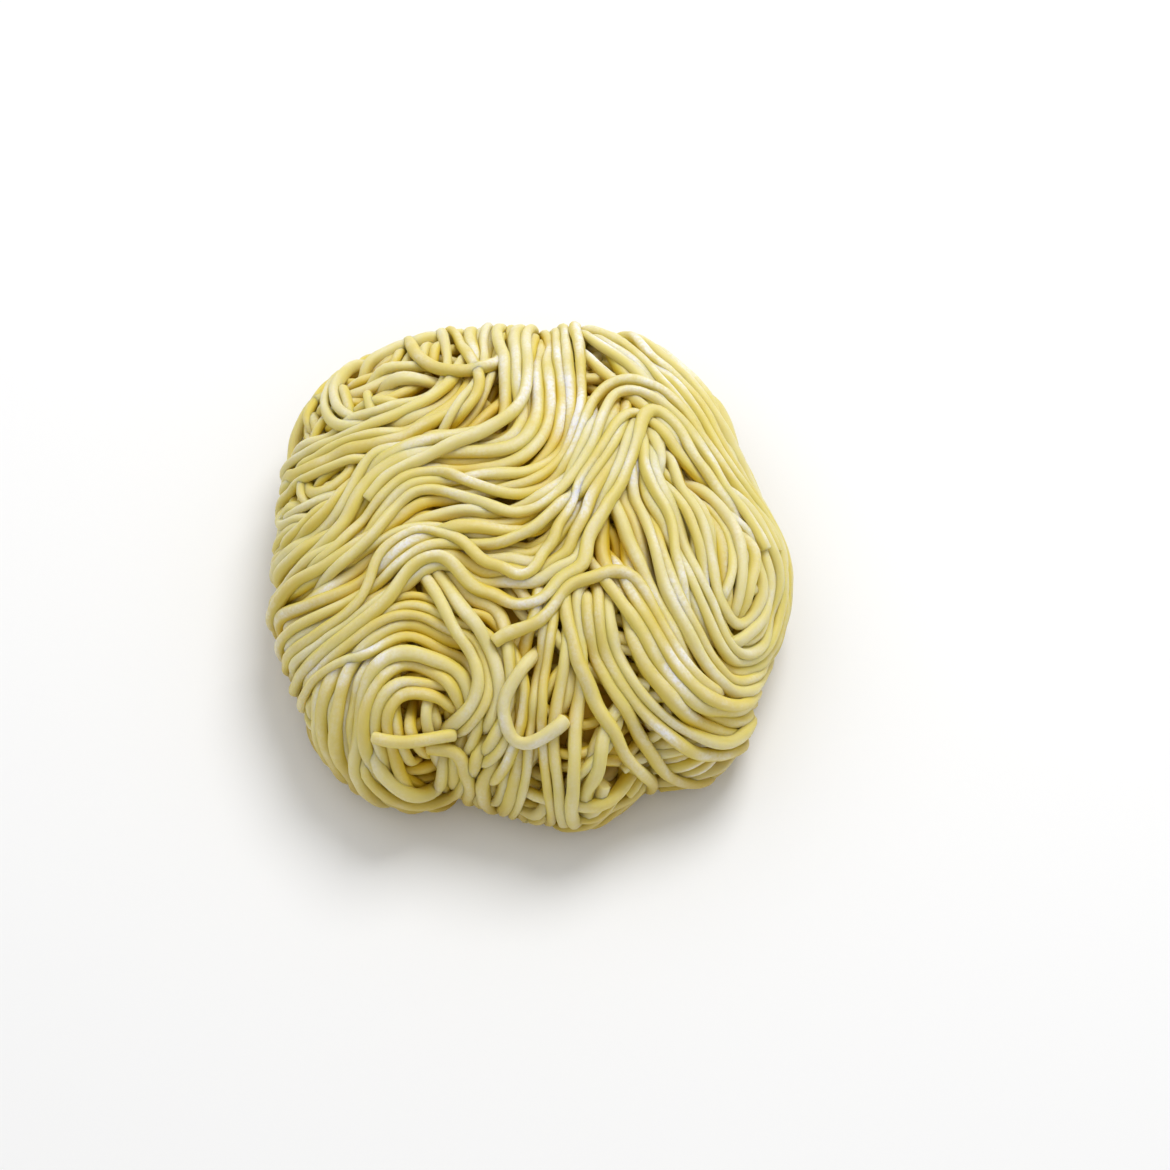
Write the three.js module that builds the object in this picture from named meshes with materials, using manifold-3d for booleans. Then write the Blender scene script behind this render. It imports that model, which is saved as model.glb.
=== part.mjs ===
// One portion of fresh ramen noodles, folded over itself into a round nest that lies on a table.
// Millimetres, +Z up, the front towards -Y. The origin is the middle of the flat underside.
// The nest is one body: a mound, with the noodles that show fused into its surface.

import * as THREE from 'three';
import { mergeVertices } from 'three/addons/utils/BufferGeometryUtils.js';
import Module from 'manifold-3d';

// Driving dimensions
const nestHeight = 38;
const nestReach = 52; // the mean radius of the outline, seen from above
const shoulderHeight = 12; // where the mound is widest
const underTuck = 4; // how far the side draws in from there to the table
const domeFullness = 2.3; // 2 is an ellipse, and more is squarer
// Radius of the uneven outline every 15 degrees, anticlockwise from the right (+X)
const outlineRadii = [
  53, 50, 51, 55, 58, 57, 55, 57, 58, 59, 55, 51,
  50, 52, 52, 55, 56, 49, 51, 55, 52, 58, 53, 53,
];

const noodleWidth = 2.8;
const widthSpread = 0.16; // share by which noodles differ in width
const coreDepth = 2; // the bare mound lies this far under the tops of the noodles
const sunkShare = 0.55; // share of its radius that a noodle is sunk in what it lies on
const wanderReach = 0.55; // how far a noodle strays from its lane in a sheaf
const wanderLength = 35; // the shortest wave of that
const waveSpread = 0.6; // share by which those waves are longer
const rippleShare = 0.4; // a second wave on the first has this share of its reach
const rippleRate = 2.3; // and comes so many times as often
const endStagger = 6; // noodles of one sheaf end up to this far apart
const bridgeSlope = 0.3; // how steeply a noodle comes down after crossing another
const tableCut = 2; // the solids are made this far under the table, and cut level with it

const pathStep = 1.5;
const stepsPerKnot = 3; // a noodle's curve goes through every third step
const noodleSides = 5;
const facetLength = 8.5;
const noodlesPerSolid = 8; // a sheaf shows one solid noodle for each of so many real ones
const coreSectors = 24;
const domeRings = 6;
const sideRings = 2;
const weldDistance = 1e-4;

// Noodles that wave round the side of the nest, under the sheaves. Reach is measured from the
// top of the nest down its skin.
const girdles = [
  { reach: 66, swing: 4, waves: 7, start: 0.4 },
  { reach: 73, swing: 2, waves: 9, start: 1.1 },
];
const girdlePieces = 3; // noodles end to end round one girdle
const girdleOverlap = 0.12; // and how far they overlap, in radians

// The sheaves of noodles in the order they lie, lowest first. A spine is drawn on the mound's
// skin unrolled from its top: millimetres to the right and to the back of the top.
const sheaves = [
  {
    name: 'right edge', strands: 6, widths: [12, 13, 12],
    spine: [
      [22, 72], [24, 62], [30, 48], [38, 37], [47, 26], [55, 13], [59, 0], [59, -14], [54, -28],
      [46, -41], [36, -52], [24, -60],
    ],
  },
  {
    name: 'upper left', strands: 3, widths: [8, 7, 6],
    spine: [[-64, 39], [-60, 38], [-50, 34], [-42, 29], [-35, 27], [-28, 27], [-22, 24], [-18, 19]],
  },
  {
    name: 'left corner', strands: 3, widths: [8, 9, 7],
    spine: [[-54, 52], [-49, 45], [-43, 35], [-41, 26], [-43, 17], [-49, 9], [-52, 0]],
  },
  {
    name: 'back left', strands: 4, widths: [9, 8, 7],
    spine: [[-23, 71], [-23, 62], [-22, 48], [-22, 39], [-25, 32], [-32, 29], [-40, 31], [-49, 35]],
  },
  {
    name: 'left low', strands: 4, widths: [8, 7, 6],
    spine: [[-70, 27], [-66, 26], [-54, 22], [-45, 19], [-37, 16], [-30, 17], [-24, 18], [-18, 15]],
  },
  {
    name: 'left rise', strands: 4, widths: [9, 8, 6],
    spine: [[-75, 2], [-66, 3], [-54, 2], [-45, -1], [-37, 0], [-31, 4], [-24, 7], [-16, 7]],
  },
  {
    name: 'fan', strands: 5, widths: [11, 9, 8],
    spine: [
      [-10, 74], [-10, 62], [-10, 47], [-9, 36], [-12, 27], [-17, 21], [-24, 19], [-33, 20],
      [-43, 19], [-54, 21], [-66, 26],
    ],
  },
  {
    name: 'back right', strands: 5, widths: [10, 10, 10],
    spine: [
      [16, 73], [17, 62], [21, 49], [28, 40], [36, 32], [45, 24], [53, 15], [61, 5], [70, -3],
      [75, -5],
    ],
  },
  {
    name: 'lower right', strands: 4, widths: [6, 8, 9],
    spine: [
      [17, 24], [18, 12], [20, 0], [22, -11], [26, -21], [31, -28], [38, -33], [46, -33], [55, -29],
      [66, -22], [72, -19],
    ],
  },
  {
    name: 'right loop', strands: 3, widths: [5, 6, 7],
    spine: [
      [23, 25], [28, 16], [33, 8], [37, -1], [39, -10], [39, -18], [40, -24], [44, -27], [49, -23],
      [52, -15], [53, -4], [50, 7], [43, 15], [35, 22], [26, 28], [18, 36], [13, 48], [12, 64],
      [12, 74],
    ],
  },
  {
    name: 'top right', strands: 6, widths: [13, 11, 7],
    spine: [
      [14, 74], [14, 62], [17, 48], [24, 38], [34, 30], [44, 21], [52, 10], [57, -3], [57, -15],
      [53, -25], [46, -31], [39, -29], [34, -22], [30, -13], [27, -3], [25, 7], [23, 17], [21, 26],
    ],
  },
  {
    name: 'front stream', strands: 5, widths: [6, 9, 15],
    spine: [[9, -4], [8, -12], [7, -22], [6, -32], [5, -42], [5, -53], [6, -64], [6, -75]],
  },
  {
    name: 'front right', strands: 3, widths: [4, 6, 7],
    spine: [
      [14, -2], [15, -10], [16.5, -18], [20, -27], [24.5, -33], [29, -36.5], [35, -38], [42, -37],
      [49, -34], [57, -31], [68, -28],
    ],
  },
  {
    name: 'pocket loop', strands: 2, widths: [3, 4, 4],
    spine: [
      [13, -6], [13, -15], [13.5, -23], [15.5, -30], [18.5, -35], [23, -39], [28, -43], [34, -45.5],
      [41, -45], [47, -41], [52, -38], [60, -38], [64, -39],
    ],
  },
  {
    name: 'big loop', strands: 2, widths: [3, 3, 4],
    spine: [
      [14, 6], [12, -2], [10.5, -12], [10.5, -22], [11, -30], [12, -37], [14, -43], [18, -47.5],
      [23, -51], [29, -55], [37, -60], [42, -62],
    ],
  },
  {
    name: 'left wall', strands: 6, widths: [9, 12, 22],
    spine: [[-26, -12], [-29, -20], [-33, -29], [-37, -40], [-40, -51], [-43, -62]],
  },
  {
    name: 'steep', strands: 3, widths: [4, 6, 6],
    spine: [
      [-23, 2], [-24, -5], [-22, -12], [-17, -19], [-13, -26], [-10, -34], [-10, -43], [-13, -53],
    ],
  },
  {
    name: 'arches', strands: 3, widths: [9, 6, 6],
    spine: [
      [-38, -65], [-37, -60], [-34, -46], [-32, -36], [-28, -28], [-21, -25], [-15, -27.5],
      [-11, -33], [-8, -40], [-8, -50], [-11, -62], [-12, -74],
    ],
  },
  {
    name: 'upper arches', strands: 4, widths: [7, 7, 6],
    spine: [
      [-67, -35], [-62, -34], [-50, -31], [-40, -28], [-32, -24], [-24, -20], [-17, -20], [-10, -26],
      [-6, -34], [-5, -43], [-9, -52], [-18, -57],
    ],
  },
  {
    name: 'fourth wave', strands: 4, widths: [4, 7, 8],
    spine: [
      [21, 27], [19, 20], [17, 12], [13, 3], [9, -5], [4, -11], [-3, -11], [-10, -7], [-17, -5],
      [-24, -8], [-29, -14], [-36, -19], [-46, -22], [-58, -23], [-71, -23],
    ],
  },
  {
    name: 'stream', strands: 7, widths: [13, 12, 12],
    spine: [
      [3, 75], [3, 62], [3, 47], [3, 35], [5, 24], [3, 14], [-3, 10], [-11, 10], [-19, 11], [-27, 9],
      [-34, 3], [-42, -3], [-52, -6], [-64, -7], [-75, -7],
    ],
  },
  {
    name: 'white wave', strands: 2, widths: [3, 4, 4],
    spine: [
      [55, -4], [51, 8], [45, 16], [38, 23], [31, 28.5], [24, 31.5], [18.5, 31.5], [15, 28.5],
      [14, 23], [13, 17], [11, 11], [8, 5.5], [3, 2], [-3, 1.5], [-9, 4], [-16, 8], [-23, 9],
      [-30, 5], [-35, -3], [-42, -9], [-52, -12],
    ],
  },
  {
    name: 'hook', strands: 2, widths: [3, 3, 4],
    spine: [
      [50, -2], [44, 9], [36, 18], [29, 24.5], [23, 27.5], [19.5, 24], [18.5, 18], [17, 11.5],
      [14.5, 4], [11.5, -4], [9, -12], [5, -18], [0, -20.5], [-5, -18], [-9, -13.5], [-14, -9],
      [-21, -7], [-25, -12], [-29, -20], [-37, -25], [-48, -28], [-61, -29], [-69, -29],
    ],
  },
  {
    name: 'curled end', strands: 1, widths: [0, 0, 0],
    spine: [
      [-7, -30], [-2, -27], [4, -24], [8, -19], [11, -14], [16, -12], [21, -14], [24, -20], [27, -27],
      [33, -32], [41, -34],
    ],
  },
  {
    name: 'front ring', strands: 1, widths: [0, 0, 0],
    spine: [[3, -29], [0, -35], [-4, -40], [-5.5, -45], [-4, -49], [0, -51], [4, -48], [9.5, -41]],
  },
  {
    name: 'left fold', strands: 2, widths: [4, 4, 4],
    spine: [
      [-32, -40], [-32.5, -48], [-31, -56], [-27, -63], [-21, -66], [-16, -62], [-14, -55],
      [-14, -48],
    ],
  },
  {
    name: 'cut end', strands: 1, widths: [0, 0, 0],
    spine: [[-29, -41.5], [-24, -43], [-19, -45], [-14, -46.5]],
  },
  {
    name: 'second cut end', strands: 1, widths: [0, 0, 0],
    spine: [[-20, -48], [-16.5, -50.5], [-13, -53], [-11, -58], [-12, -66], [-13, -74]],
  },
  {
    name: 'front tip', strands: 2, widths: [3, 3, 4],
    spine: [[38, -58], [30, -59], [23, -62], [18, -67], [14, -74]],
  },
];

// A seeded draw from 0 to 1, the same at each build
let drawState = 11;
function draw() {
  drawState = (drawState * 48271) % 2147483647;
  return drawState / 2147483647;
}

// The mound

function moundProfile() {
  const points = [];
  const quarter = Math.PI / 2;
  for (let i = 0; i <= domeRings; i += 1) {
    const angle = (quarter * i) / domeRings;
    const height = Math.max(Math.cos(angle), 0) ** (2 / domeFullness);
    const reach = Math.sin(angle) ** (2 / domeFullness);
    const rise = (nestHeight - shoulderHeight) * height;
    points.push(new THREE.Vector2(nestReach * reach, shoulderHeight + rise));
  }
  for (let i = 1; i <= sideRings; i += 1) {
    const fall = i / sideRings;
    points.push(new THREE.Vector2(nestReach - underTuck * fall * fall, shoulderHeight * (1 - fall)));
  }
  return points;
}

// How much wider or narrower than the mean the outline is in a direction
function outlineShare(angle) {
  const count = outlineRadii.length;
  const turns = ((angle / (2 * Math.PI)) * count + count) % count;
  const i = Math.floor(turns);
  const f = turns - i;
  const [before, here, next, after] = [-1, 0, 1, 2].map((k) => (
    outlineRadii[(i + k + count) % count] / nestReach));
  return 0.5 * (2 * here + (next - before) * f + (2 * before - 5 * here + 4 * next - after) * f * f
    + (3 * here - before - 3 * next + after) * f ** 3);
}

const profile = moundProfile();
const profileLengths = [0];
profile.slice(1).forEach((point, i) => {
  profileLengths.push(profileLengths[i] + point.distanceTo(profile[i]));
});
const skinReach = profileLengths.at(-1);

function profileAt(length) {
  let i = 1;
  while (i < profile.length - 1 && profileLengths[i] < length) i += 1;
  const share = (length - profileLengths[i - 1]) / (profileLengths[i] - profileLengths[i - 1]);
  return profile[i - 1].clone().lerp(profile[i], THREE.MathUtils.clamp(share, 0, 1));
}

// The point of the mound's skin at a spot of the unrolled skin, and the way out of the mound there
function onSkin(spot) {
  const length = Math.min(spot.length(), skinReach);
  const angle = Math.atan2(spot.y, spot.x);
  const here = profileAt(length);
  const slope = profileAt(length + 2).sub(profileAt(Math.max(length - 2, 0))).normalize();
  const reach = here.x * outlineShare(angle);
  return {
    point: new THREE.Vector3(reach * Math.cos(angle), reach * Math.sin(angle), here.y),
    outward: new THREE.Vector3(-slope.y * Math.cos(angle), -slope.y * Math.sin(angle), slope.x),
  };
}

function moundGeometry() {
  const rim = profile.map((point) => new THREE.Vector2(Math.max(point.x - coreDepth, 0), point.y));
  rim.forEach((point, i) => {
    if (i < domeRings) point.y -= coreDepth * (1 - (i / domeRings) ** 2);
  });
  rim[0].x = 0;
  rim.push(new THREE.Vector2(rim.at(-1).x, -tableCut), new THREE.Vector2(0, -tableCut));
  const geometry = new THREE.LatheGeometry(rim.reverse(), coreSectors).rotateX(Math.PI / 2);
  const position = geometry.attributes.position;
  for (let i = 0; i < position.count; i += 1) {
    const share = outlineShare(Math.atan2(position.getY(i), position.getX(i)));
    position.setXY(i, position.getX(i) * share, position.getY(i) * share);
  }
  return geometry;
}

// The noodles

// The places of a sheaf's noodles on the unrolled skin, side by side along its spine
function sheafPaths(sheaf) {
  const spine = new THREE.SplineCurve(sheaf.spine.map(([right, back]) => new THREE.Vector2(right, back)));
  const count = Math.round(spine.getLength() / pathStep);
  const middle = spine.getSpacedPoints(count);
  const paths = [];
  for (let i = 0; i < sheaf.strands; i += 1) {
    const lane = sheaf.strands > 1 ? i / (sheaf.strands - 1) - 0.5 : 0;
    const phase = draw() * 2 * Math.PI;
    const wave = wanderLength * (1 + waveSpread * draw());
    const radius = (noodleWidth / 2) * (1 + widthSpread * (draw() - 0.5));
    const first = Math.floor((draw() * endStagger) / pathStep);
    const last = count - Math.floor((draw() * endStagger) / pathStep);
    const spots = [];
    for (let j = first; j <= last; j += 1) {
      const here = middle[j];
      const along = middle[Math.min(j + 1, count)].clone().sub(middle[Math.max(j - 1, 0)]).normalize();
      const half = j / count < 0.5 ? 0 : 1;
      const width = THREE.MathUtils.lerp(sheaf.widths[half], sheaf.widths[half + 1], (j / count) * 2 - half);
      const turn = (2 * Math.PI * j * pathStep) / wave + phase;
      const stray = wanderReach * (Math.sin(turn) + rippleShare * Math.sin(rippleRate * turn));
      const aside = new THREE.Vector2(-along.y, along.x).multiplyScalar(lane * width + stray);
      // Down the side the unrolled skin is wider than the mound, so lanes are spread to match
      const radial = here.clone().normalize();
      const round = aside.clone().addScaledVector(radial, -aside.dot(radial));
      const spread = Math.max(here.length() / Math.max(profileAt(here.length()).x, 1), 1) - 1;
      spots.push(here.clone().add(aside).addScaledVector(round, spread));
    }
    paths.push({ radius, spots: smoothed(spots) });
  }
  return paths;
}

function girdlePaths({ reach, swing, waves, start }) {
  const paths = [];
  const piece = (2 * Math.PI) / girdlePieces;
  for (let i = 0; i < girdlePieces; i += 1) {
    const radius = (noodleWidth / 2) * (1 + widthSpread * (draw() - 0.5));
    const count = Math.round((piece * nestReach) / pathStep);
    const spots = [];
    for (let j = 0; j <= count; j += 1) {
      const angle = start + piece * i + ((piece + girdleOverlap) * j) / count;
      const ripple = 1 - rippleShare + rippleShare * Math.sin(rippleRate * angle);
      const length = reach + swing * ripple * Math.sin(waves * angle + start);
      spots.push(new THREE.Vector2(length * Math.cos(angle), length * Math.sin(angle)));
    }
    paths.push({ radius, spots });
  }
  return paths;
}

function smoothed(spots) {
  return spots.map((spot, i) => {
    if (i === 0 || i === spots.length - 1) return spot;
    return spots[i - 1].clone().add(spots[i + 1]).addScaledVector(spot, 2).divideScalar(4);
  });
}

// Lays a noodle on the mound and over the noodles that are there already
function settle(path, laid) {
  const rest = path.radius * (1 - sunkShare) - coreDepth;
  const places = path.spots.map(onSkin);
  const heights = places.map(({ point, outward }) => {
    let height = rest;
    for (const other of laid) {
      const gap = (path.radius + other.radius) * (1 - sunkShare / 4);
      for (const spot of other.points) {
        if (Math.abs(spot.x - point.x) > gap || Math.abs(spot.y - point.y) > gap) continue;
        const offset = spot.clone().sub(point);
        const along = offset.dot(outward);
        const across = offset.lengthSq() - along * along;
        if (across < gap * gap) height = Math.max(height, along + Math.sqrt(gap * gap - across));
      }
    }
    return Math.min(height, path.radius);
  });
  for (let i = 1; i < heights.length; i += 1) {
    heights[i] = Math.max(heights[i], heights[i - 1] - bridgeSlope * pathStep);
  }
  for (let i = heights.length - 2; i >= 0; i -= 1) {
    heights[i] = Math.max(heights[i], heights[i + 1] - bridgeSlope * pathStep);
  }
  const points = places.map(({ point, outward }, i) => point.clone().addScaledVector(outward, heights[i]));
  return { radius: path.radius, points };
}

function noodleGeometry({ radius, points }) {
  const corners = [];
  for (let i = 0; i < noodleSides; i += 1) {
    const angle = (2 * Math.PI * i) / noodleSides;
    corners.push(new THREE.Vector2(radius * Math.cos(angle), radius * Math.sin(angle)));
  }
  const thinned = points.filter((_, i) => i % stepsPerKnot === 0 || i === points.length - 1);
  return new THREE.ExtrudeGeometry(new THREE.Shape(corners), {
    steps: Math.round((points.length * pathStep) / facetLength),
    bevelEnabled: false,
    extrudePath: new THREE.CatmullRomCurve3(thinned),
  });
}

// Joining

const wasm = await Module();
wasm.setup();

function solidOf(geometry) {
  geometry.deleteAttribute('normal');
  geometry.deleteAttribute('uv');
  const merged = mergeVertices(geometry, weldDistance);
  return new wasm.Manifold(new wasm.Mesh({
    numProp: 3,
    vertProperties: new Float32Array(merged.attributes.position.array),
    triVerts: new Uint32Array(merged.index.array),
  }));
}

function geometryOf(solid) {
  const { vertProperties, triVerts } = solid.getMesh();
  const geometry = new THREE.BufferGeometry();
  geometry.setAttribute('position', new THREE.BufferAttribute(vertProperties, 3));
  geometry.setIndex(new THREE.BufferAttribute(triVerts, 1));
  return geometry;
}

// The noodles of a sheaf that are made, spread evenly over its lanes
function shownPaths(paths) {
  const count = Math.ceil(paths.length / noodlesPerSolid);
  const shown = [];
  for (let i = 0; i < count; i += 1) shown.push(paths[Math.floor(((i + 0.5) * paths.length) / count)]);
  return shown;
}

const laid = [];
for (const girdle of girdles) {
  for (const path of girdlePaths(girdle)) laid.push(settle(path, laid));
}
for (const sheaf of sheaves) {
  const paths = shownPaths(sheafPaths(sheaf));
  for (const path of paths) laid.push(settle(path, laid));
}

let nest = solidOf(moundGeometry());
for (const noodle of laid) nest = nest.add(solidOf(noodleGeometry(noodle)));
const table = new THREE.BoxGeometry(4 * nestReach, 4 * nestReach, 10 * tableCut);
nest = nest.subtract(solidOf(table.translate(0, 0, -5 * tableCut)));
// Only the one whole body stays, without sealed pockets or scraps
const [body] = nest.decompose().sort((a, b) => b.volume() - a.volume());

const dough = new THREE.MeshStandardMaterial({ color: '#cfc17f', roughness: 0.7, metalness: 0 });
const noodleNest = new THREE.Mesh(geometryOf(body), dough);
noodleNest.name = 'noodle_nest';

const group = new THREE.Group();
group.add(noodleNest);
export default group;
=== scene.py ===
import math

import bpy
import numpy as np
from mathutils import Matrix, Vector, kdtree


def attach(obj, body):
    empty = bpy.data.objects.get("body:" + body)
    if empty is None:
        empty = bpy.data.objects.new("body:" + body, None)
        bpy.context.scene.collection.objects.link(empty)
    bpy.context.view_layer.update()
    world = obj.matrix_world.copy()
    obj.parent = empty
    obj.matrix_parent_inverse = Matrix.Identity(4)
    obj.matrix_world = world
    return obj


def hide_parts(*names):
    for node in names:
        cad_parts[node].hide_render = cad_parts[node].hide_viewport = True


# A nest of fresh ramen noodles. The frame gives its box and its one node, and the noodles are
# laid here one over the other on the same mound and along much the same sheaves.
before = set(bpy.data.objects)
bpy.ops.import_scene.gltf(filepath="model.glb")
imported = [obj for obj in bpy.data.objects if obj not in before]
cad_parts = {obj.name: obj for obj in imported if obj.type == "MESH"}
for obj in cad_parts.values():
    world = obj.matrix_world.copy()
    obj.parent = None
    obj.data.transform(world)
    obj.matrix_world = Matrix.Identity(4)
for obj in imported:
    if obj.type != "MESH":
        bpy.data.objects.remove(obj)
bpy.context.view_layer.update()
mm = 0.001
print("frame loaded")

drawStep = 48271
drawSpan = 2147483647


# A seeded draw, the same each run
class Draw:
    def __init__(self, seed):
        self.state = seed

    def __call__(self, low=0.0, high=1.0):
        self.state = (self.state * drawStep) % drawSpan
        return low + (high - low) * self.state / drawSpan


# The mound that the noodles lie on. All sizes are millimetres until a mesh is made.
mound = {
    "height": 38.0,
    "reach": 52.0,  # widest radius of the profile, which the outline then stretches
    "shoulder": 12.0,  # height of the widest ring
    "tuck": 4.0,
    "fullness": 2.3,  # 2 is an ellipse
    # outline every 15 degrees, anticlockwise from +X
    "outline": (53, 50, 51, 55, 58, 57, 55, 57, 58, 59, 55, 51,
                50, 52, 52, 55, 56, 49, 51, 55, 52, 58, 53, 53),
    "domeRings": 60,
    "sideRings": 12,
    "underRings": 22,  # the skin goes on under the nest, towards the middle
    "underStep": 2.0,
    "slopeOver": 2,  # the slope is taken over so far on each side
}


def moundProfile():
    rings = []
    for i in range(mound["domeRings"] + 1):
        angle = math.pi / 2 * i / mound["domeRings"]
        rise = max(math.cos(angle), 0) ** (2 / mound["fullness"])
        reach = math.sin(angle) ** (2 / mound["fullness"])
        rings.append((mound["reach"] * reach,
                      mound["shoulder"] + (mound["height"] - mound["shoulder"]) * rise))
    for i in range(1, mound["sideRings"] + 1):
        fall = i / mound["sideRings"]
        rings.append((mound["reach"] - mound["tuck"] * fall * fall, mound["shoulder"] * (1 - fall)))
    for i in range(1, mound["underRings"] + 1):
        rings.append((mound["reach"] - mound["tuck"] - i * mound["underStep"], 0.0))
    return np.array(rings)


profile = moundProfile()
profileLengths = np.r_[0, np.cumsum(np.hypot(*np.diff(profile, axis=0).T))]
skinReach = profileLengths[mound["domeRings"] + mound["sideRings"]]  # down to the table
wholeReach = profileLengths[-1]


# Catmull-Rom through the outline's radii
def outlineShare(angle):
    radii = np.array(mound["outline"]) / mound["reach"]
    count = len(radii)
    turns = (angle / (2 * math.pi) * count) % count
    i = np.floor(turns).astype(int)
    f = turns - i
    before, here, after, last = (radii[(i + k) % count] for k in (-1, 0, 1, 2))
    return 0.5 * (2 * here + (after - before) * f + (2 * before - 5 * here + 4 * after - last) * f ** 2
                  + (3 * here - before - 3 * after + last) * f ** 3)


def profileAt(length):
    return (np.interp(length, profileLengths, profile[:, 0]),
            np.interp(length, profileLengths, profile[:, 1]))


# Spots are millimetres to the right and to the back of the top, on the mound's skin unrolled
def onSkin(spots):
    length = np.minimum(np.hypot(spots[:, 0], spots[:, 1]), wholeReach)
    angle = np.arctan2(spots[:, 1], spots[:, 0])
    reach, rise = profileAt(length)
    apart = mound["slopeOver"]
    ahead, behind = profileAt(length + apart), profileAt(np.maximum(length - apart, 0))
    slopeOut, slopeUp = ahead[0] - behind[0], ahead[1] - behind[1]
    size = np.maximum(np.hypot(slopeOut, slopeUp), 1e-6)
    share = outlineShare(angle)
    points = np.stack([reach * share * np.cos(angle), reach * share * np.sin(angle), rise], -1)
    outward = np.stack([-slopeUp / size * np.cos(angle), -slopeUp / size * np.sin(angle),
                        slopeOut / size], -1)
    return points, outward


# How the noodles are laid
lay = {
    "width": 2.5,
    "widthSpread": 0.32,
    "step": 1.25,
    "stray": 1.25,  # how far a noodle strays from its lane in a sheaf
    "strayLength": 18.0,
    "endStagger": 5.0,
    "coreDepth": 7.0,
    "press": 0.92,  # share of their widths at which two noodles touch
    "bridgeSlope": 0.45,
    "boldShare": 0.4,  # share of noodles that leave their lane and cross the others
    "boldStray": 2.6,
    "diveDepth": 7.0,  # ends that go in under other sheaves
    "edgeDepth": 4.0,  # of the core, where the skin meets the table
    "near": 14.0,  # other noodles count within this distance
    "above": 30.0,  # and up to this height over the skin
    "steering": 8,  # a roaming noodle steers back by at most this
    "turnLength": 24,
    "seed": 11,
}

# Noodles that wave round the side, under the sheaves
girdleRound = {"pieces": 3, "overlap": 0.12, "ripple": 0.4, "rippleRate": 2.3}
girdles = [
    {"reach": 60, "swing": 4, "waves": 5, "start": 2.0},
    {"reach": 66, "swing": 4, "waves": 7, "start": 0.4},
    {"reach": 70, "swing": 3, "waves": 6, "start": 3.1},
    {"reach": 73, "swing": 2, "waves": 9, "start": 1.1},
    {"reach": 76, "swing": 1.5, "waves": 8, "start": 5.2},
]

# Loose noodles under the sheaves, which show in the gaps between them
filler = {"count": 155, "shortest": 60, "longest": 115, "edge": 76, "margin": 4, "tightest": 10.0,
          "turn": 0.03, "seed": 29}

# Tangles of loose noodles, each laid just before the sheaf that it names
tangles = [
    {"before": "fan", "middle": (-36, 32), "edge": 16, "margin": 13, "count": 7, "shortest": 50,
     "longest": 90, "tightest": 11.0, "turn": 0.016, "dives": (7, 7), "seed": 8},
    {"before": "leftRise", "middle": (-54, 8), "edge": 11, "margin": 9, "count": 6, "shortest": 30,
     "longest": 50, "tightest": 16.0, "turn": 0.016, "dives": (7, 7), "seed": 35},
    {"before": "frontStream", "middle": (-4, -56), "edge": 15, "margin": 13, "count": 6, "shortest": 30,
     "longest": 50, "tightest": 11.0, "turn": 0.016, "dives": (7, 7), "seed": 19},
    {"before": "backRight", "middle": (-34, 62), "edge": 18, "margin": 14, "count": 8, "shortest": 30,
     "longest": 50, "tightest": 11.0, "turn": 0.016, "dives": (7, 7), "seed": 41},
]

# Noodles flat on the table, which cover part of the underside
base = {"count": 46, "shortest": 45, "longest": 100, "edge": 43, "margin": 10, "tightest": 11.0,
        "turn": 0.03, "seed": 53, "highest": 6.0}

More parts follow.
